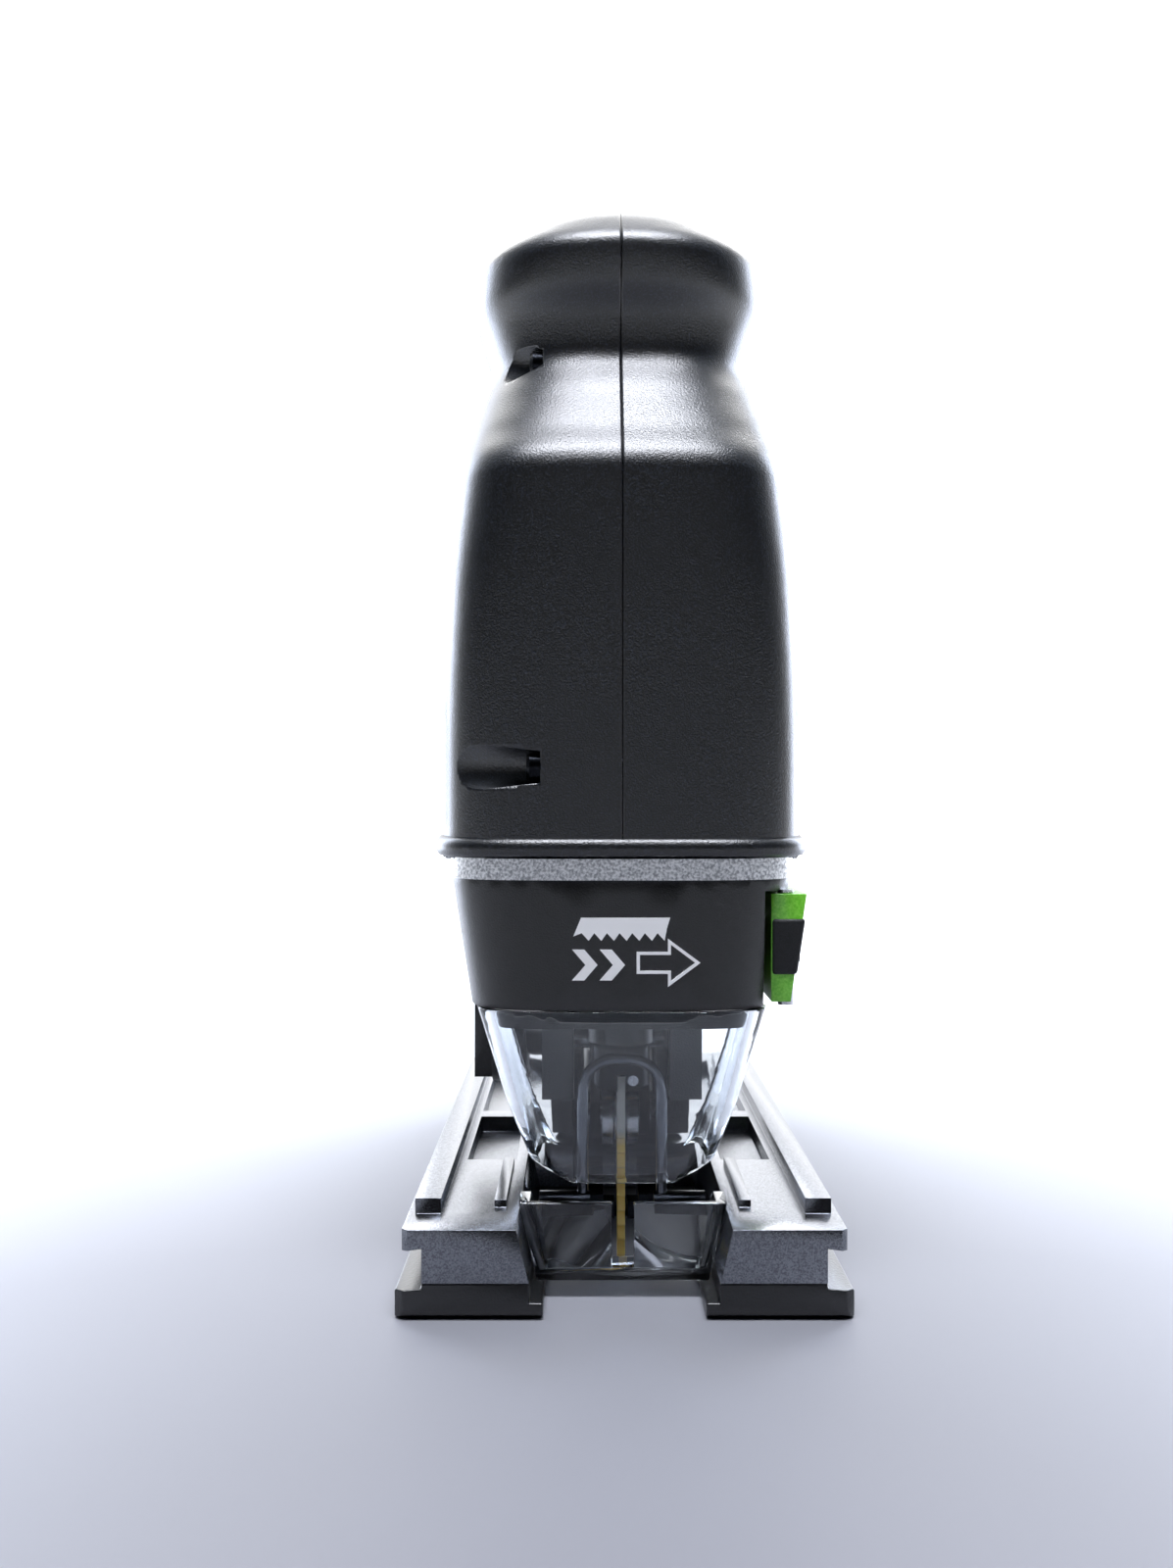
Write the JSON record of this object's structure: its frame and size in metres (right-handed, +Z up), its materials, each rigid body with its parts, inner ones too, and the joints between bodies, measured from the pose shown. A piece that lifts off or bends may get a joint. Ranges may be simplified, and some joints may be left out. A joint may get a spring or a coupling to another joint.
{
  "type": "jigsaw",
  "caption": "Corded jigsaw with a barrel grip, mushroom front head, green blade lever, clear chip shield and a forked aluminium sole on a black shoe.",
  "frame": {"origin": "middle of the bounding box in X and Y, at the underside of the shoe", "axes": "+Z up, the blade's cutting side faces -Y, the barrel runs along Y, +X is the side of the release lever"},
  "size_m": [0.08, 0.25, 0.2068],
  "materials": {
    "black_housing": "black glass-filled nylon, fine moulded grain",
    "soft_grip": "black soft-touch elastomer",
    "cast_silver": "die-cast aluminium, bead blasted",
    "black_cover": "black moulded gear head cover",
    "lever_green": "lime green moulded plastic",
    "lever_black": "black ribbed insert",
    "steel": "machined and ground steel",
    "dark_steel": "blackened steel",
    "clear": "clear polycarbonate",
    "gasket": "black rubber",
    "bronze": "sintered bronze",
    "blade": "bimetal blade, golden teeth",
    "copper": "enamelled copper wire",
    "lamination": "stacked electrical steel",
    "commutator_copper": "turned copper bars",
    "black_nylon": "black nylon",
    "carbon": "pressed carbon",
    "base_alu": "cast and ground aluminium sole",
    "shoe_black": "black sliding shoe"
  },
  "bodies": {
    "housing": {"housing_shell_left": "black_housing", "housing_shell_right": "black_housing", "grip_pad_left": "soft_grip", "grip_pad_right": "soft_grip", "housing_screws": "dark_steel", "gearbox_housing": "cast_silver", "gear_head_cover": "black_cover", "lever_pivot_pin": "steel", "lower_bush": "bronze", "upper_bush": "bronze", "gear_axle": "steel", "front_bearing": "steel", "rear_bearing": "steel", "stator_core": "lamination", "stator_windings": "copper", "brush_holders": "black_nylon", "carbon_brushes": "carbon", "switch_block": "black_nylon", "electronics_module": "black_nylon", "dial_pin": "steel", "power_inlet": "black_nylon", "inlet_pins": "steel", "pendulum_pin": "steel", "guide_jaws": "dark_steel", "base_clamp_block": "dark_steel", "base_clamp_screw": "dark_steel", "dust_chute": "black_nylon"},
    "armature": {"armature_shaft": "steel", "drive_pinion": "steel", "armature_core": "lamination", "armature_windings": "copper", "commutator": "commutator_copper", "cooling_fan": "black_nylon"},
    "gear": {"drive_gear": "steel", "eccentric_pin": "steel"},
    "plunger_set": {"plunger": "steel", "plunger_yoke": "steel", "blade_clamp": "dark_steel", "clamp_pin": "steel", "saw_blade": "blade"},
    "counterweight": {"balance_weight": "steel"},
    "lever": {"release_lever": "lever_green", "lever_pad": "lever_black"},
    "shield": {"chip_shield": "clear", "shield_gasket": "gasket"},
    "switch": {"switch_slider": "black_nylon"},
    "dial": {"speed_dial": "black_nylon"},
    "pendulum": {"pendulum_arm": "dark_steel", "roller_pin": "steel"},
    "roller": {"pendulum_roller": "steel"},
    "selector": {"pendulum_selector": "black_nylon"},
    "sole": {"base_table": "base_alu", "sliding_shoe": "shoe_black", "base_window": "clear", "window_clips": "dark_steel", "wire_guard": "dark_steel"}
  },
  "joints": [
    {"name": "gear_spin", "type": "hinge", "parent": "housing", "child": "gear", "pos_m": [0, -0.075, 0.0914], "axis": [0, 1, 0], "continuous": true},
    {"name": "armature_spin", "type": "hinge", "parent": "housing", "child": "armature", "pos_m": [0, 0, 0.122], "axis": [0, 1, 0], "continuous": true},
    {"name": "plunger_stroke", "type": "slide", "parent": "housing", "child": "plunger_set", "axis": [0, 0, 1], "range_m": [-0.02, 0]},
    {"name": "weight_stroke", "type": "slide", "parent": "housing", "child": "counterweight", "axis": [0, 0, 1], "range_m": [0, 0.008]},
    {"name": "lever_open", "type": "hinge", "parent": "housing", "child": "lever", "pos_m": [0.0306, -0.1042, 0.06], "axis": [0, 0, -1], "range_deg": [0, 70]},
    {"name": "shield_pull", "type": "slide", "parent": "housing", "child": "shield", "axis": [0, -1, 0], "range_m": [0, 0.03]},
    {"name": "switch_slide", "type": "slide", "parent": "housing", "child": "switch", "axis": [0, -1, 0], "range_m": [0, 0.006]},
    {"name": "dial_turn", "type": "hinge", "parent": "housing", "child": "dial", "pos_m": [0, 0.088, 0.1485], "axis": [1, 0, 0], "range_deg": [0, 270]},
    {"name": "pendulum_swing", "type": "hinge", "parent": "housing", "child": "pendulum", "pos_m": [0, -0.078, 0.041], "axis": [1, 0, 0], "range_deg": [0, 6]},
    {"name": "roller_spin", "type": "hinge", "parent": "pendulum", "child": "roller", "pos_m": [0, -0.0853, 0.027], "axis": [1, 0, 0], "continuous": true},
    {"name": "selector_turn", "type": "hinge", "parent": "housing", "child": "selector", "pos_m": [-0.02, -0.055, 0.036], "axis": [1, 0, 0], "range_deg": [0, 90]},
    {"name": "sole_tilt", "type": "hinge", "parent": "housing", "child": "sole", "pos_m": [0, -0.03, 0], "axis": [0, 1, 0], "range_deg": [-15, 15]}
  ],
  "couplings": [
    {"joint": "armature_spin", "follows": "gear_spin", "ratio": -7.5},
    {"joint": "weight_stroke", "follows": "plunger_stroke", "ratio": -0.4}
  ]
}
